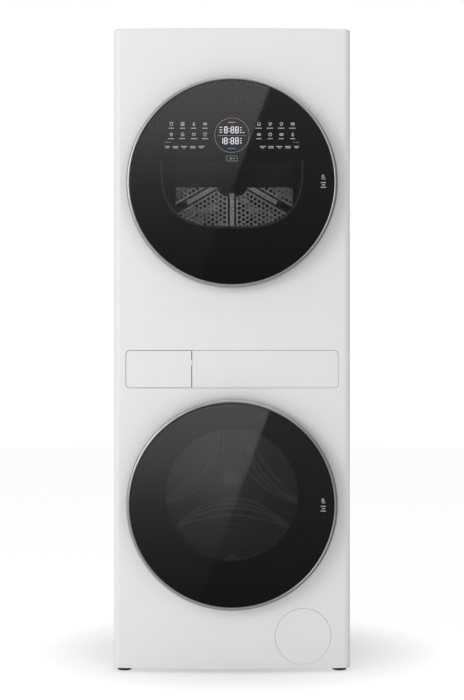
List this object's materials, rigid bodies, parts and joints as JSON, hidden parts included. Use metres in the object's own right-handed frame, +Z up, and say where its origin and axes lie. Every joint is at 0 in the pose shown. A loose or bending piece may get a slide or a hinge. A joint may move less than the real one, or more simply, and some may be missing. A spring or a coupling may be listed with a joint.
{
  "type": "washer dryer stack",
  "caption": "Tall one-piece laundry cabinet: heat-pump dryer over front-load washer, round dark glass doors, drawer and fascia row between.",
  "frame": {"origin": "on the floor, under the middle of the whole object's box", "axes": "+Z up, the doors face -Y, +X to the viewer's right"},
  "size_m": [0.6, 0.68, 1.63],
  "materials": {
    "white_enamel": "semi-gloss white enamel",
    "white_plastic": "semi-gloss white moulding",
    "zinc_steel": "galvanised sheet",
    "satin_bezel": "satin silver",
    "smoked_glass": "dark tinted glass",
    "clear_window": "clear moulded window",
    "bowl_glass": "clear pressed glass",
    "black_plastic": "matte black",
    "grey_plastic": "matte grey",
    "tub_plastic": "matte light grey",
    "gasket_rubber": "grey rubber",
    "foot_rubber": "dark rubber foot",
    "stainless": "stainless sheet",
    "felt": "felt",
    "roller_rubber": "black tyre rubber",
    "cast_concrete": null,
    "cast_alloy": "cast alloy",
    "spring_steel": "spring steel",
    "board_green": "circuit board",
    "copper_fins": "aluminium fins on copper tube",
    "motor_steel": "painted motor steel",
    "belt_rubber": "ribbed belt",
    "lint_mesh": "light grey frame with mesh"
  },
  "bodies": {
    "cabinet": {"front_panel": "white_enamel", "side_panel_left": "white_enamel", "side_panel_right": "white_enamel", "top_panel": "white_enamel", "rear_panel": "zinc_steel", "base_frame": "zinc_steel", "mid_deck": "zinc_steel", "fascia_panel": "white_plastic", "dispenser_box": "grey_plastic", "control_board": "board_green", "inlet_valve": "tub_plastic", "drain_outlet": "grey_plastic", "power_inlet": "black_plastic", "drain_pump": "black_plastic", "door_gasket": "gasket_rubber", "suspension_springs": "spring_steel", "damper_cylinders": "black_plastic", "dryer_front_bulkhead": "grey_plastic", "dryer_rear_bulkhead": "zinc_steel", "dryer_felt_seals": "felt", "heat_pump_tray": "black_plastic", "heat_pump_circuit": "copper_fins", "dryer_motor": "motor_steel", "drive_belt": "belt_rubber", "hinge_brackets": "spring_steel", "door_locks": "black_plastic"},
    "dryer_door": {"dryer_door_glass": "smoked_glass", "dryer_door_ring": "satin_bezel", "dryer_door_frame": "black_plastic", "dryer_door_window": "clear_window", "display_module": "black_plastic"},
    "dryer_latch": {"dryer_latch_hook": "spring_steel"},
    "washer_door": {"washer_door_glass": "smoked_glass", "washer_door_ring": "satin_bezel", "washer_door_frame": "black_plastic", "washer_door_bowl": "bowl_glass"},
    "washer_latch": {"washer_latch_hook": "spring_steel"},
    "tub": {"tub_front": "tub_plastic", "tub_rear": "tub_plastic", "tub_bearings": "spring_steel", "counterweights": "cast_concrete", "motor_stator": "motor_steel", "damper_rods": "spring_steel"},
    "washer_drum_body": {"washer_drum": "stainless", "washer_lifters": "tub_plastic", "drum_spider": "cast_alloy", "motor_rotor": "motor_steel"},
    "dryer_drum_body": {"dryer_drum": "stainless"},
    "roller_left": {"drum_roller_left": "roller_rubber"},
    "roller_right": {"drum_roller_right": "roller_rubber"},
    "motor_shaft": {"dryer_motor_shaft": "black_plastic"},
    "drawer": {"drawer_front": "white_plastic", "detergent_drawer": "grey_plastic"},
    "cover": {"filter_cover": "white_plastic"},
    "trap": {"pump_filter": "grey_plastic"},
    "lint_screen": {"lint_filter": "lint_mesh"},
    "foot_fl": {"foot_front_left": "foot_rubber"},
    "foot_fr": {"foot_front_right": "foot_rubber"},
    "foot_rl": {"foot_rear_left": "foot_rubber"},
    "foot_rr": {"foot_rear_right": "foot_rubber"}
  },
  "joints": [
    {"name": "dryer_door_hinge", "type": "hinge", "parent": "cabinet", "child": "dryer_door", "pos_m": [-0.255, -0.325, 1.2372], "axis": [0, 0, -1], "range_deg": [0, 130]},
    {"name": "dryer_latch_pivot", "type": "hinge", "parent": "dryer_door", "child": "dryer_latch", "pos_m": [0.232, -0.324, 1.2372], "axis": [0, 0, -1], "range_deg": [0, 5]},
    {"name": "washer_door_hinge", "type": "hinge", "parent": "cabinet", "child": "washer_door", "pos_m": [-0.255, -0.325, 0.4263], "axis": [0, 0, -1], "range_deg": [0, 130]},
    {"name": "washer_latch_pivot", "type": "hinge", "parent": "washer_door", "child": "washer_latch", "pos_m": [0.232, -0.324, 0.4263], "axis": [0, 0, -1], "range_deg": [0, 5]},
    {"name": "tub_bounce", "type": "slide", "parent": "cabinet", "child": "tub", "axis": [0, 0, 1], "range_m": [-0.008, 0.008], "stiffness_N_per_m": 9000, "deforming": ["suspension_springs", "door_gasket"]},
    {"name": "washer_drum_spin", "type": "hinge", "parent": "tub", "child": "washer_drum_body", "pos_m": [0, 0, 0.45], "axis": [0, 1, 0], "continuous": true},
    {"name": "dryer_drum_spin", "type": "hinge", "parent": "cabinet", "child": "dryer_drum_body", "pos_m": [0, 0, 1.308], "axis": [0, 1, 0], "continuous": true},
    {"name": "roller_left_spin", "type": "hinge", "parent": "cabinet", "child": "roller_left", "pos_m": [-0.15, 0.16, 1.03055], "axis": [0, 1, 0], "continuous": true},
    {"name": "roller_right_spin", "type": "hinge", "parent": "cabinet", "child": "roller_right", "pos_m": [0.15, 0.16, 1.03055], "axis": [0, 1, 0], "continuous": true},
    {"name": "dryer_motor_spin", "type": "hinge", "parent": "cabinet", "child": "motor_shaft", "pos_m": [0.19, 0, 0.915], "axis": [0, 1, 0], "continuous": true},
    {"name": "detergent_drawer_slide", "type": "slide", "parent": "cabinet", "child": "drawer", "axis": [0, -1, 0], "range_m": [0, 0.19]},
    {"name": "filter_cover_hinge", "type": "hinge", "parent": "cabinet", "child": "cover", "pos_m": [0.111, -0.3062, 0.0914], "axis": [0, 0, -1], "range_deg": [0, 110]},
    {"name": "pump_filter_turn", "type": "hinge", "parent": "cabinet", "child": "trap", "pos_m": [0.18, -0.25, 0.0914], "axis": [0, 1, 0], "range_deg": [0, 90]},
    {"name": "lint_filter_slide", "type": "slide", "parent": "cabinet", "child": "lint_screen", "axis": [0, 0, 1], "range_m": [0, 0.12]},
    {"name": "foot_fl_turn", "type": "hinge", "parent": "cabinet", "child": "foot_fl", "pos_m": [-0.274, -0.262, 0], "axis": [0, 0, 1], "continuous": true},
    {"name": "foot_fr_turn", "type": "hinge", "parent": "cabinet", "child": "foot_fr", "pos_m": [0.274, -0.262, 0], "axis": [0, 0, 1], "continuous": true},
    {"name": "foot_rl_turn", "type": "hinge", "parent": "cabinet", "child": "foot_rl", "pos_m": [-0.274, 0.262, 0], "axis": [0, 0, 1], "continuous": true},
    {"name": "foot_rr_turn", "type": "hinge", "parent": "cabinet", "child": "foot_rr", "pos_m": [0.274, 0.262, 0], "axis": [0, 0, 1], "continuous": true}
  ],
  "couplings": [
    {"joint": "roller_left_spin", "follows": "dryer_drum_spin", "ratio": -8},
    {"joint": "roller_right_spin", "follows": "dryer_drum_spin", "ratio": -8},
    {"joint": "dryer_motor_spin", "follows": "dryer_drum_spin", "ratio": 31.111}
  ]
}
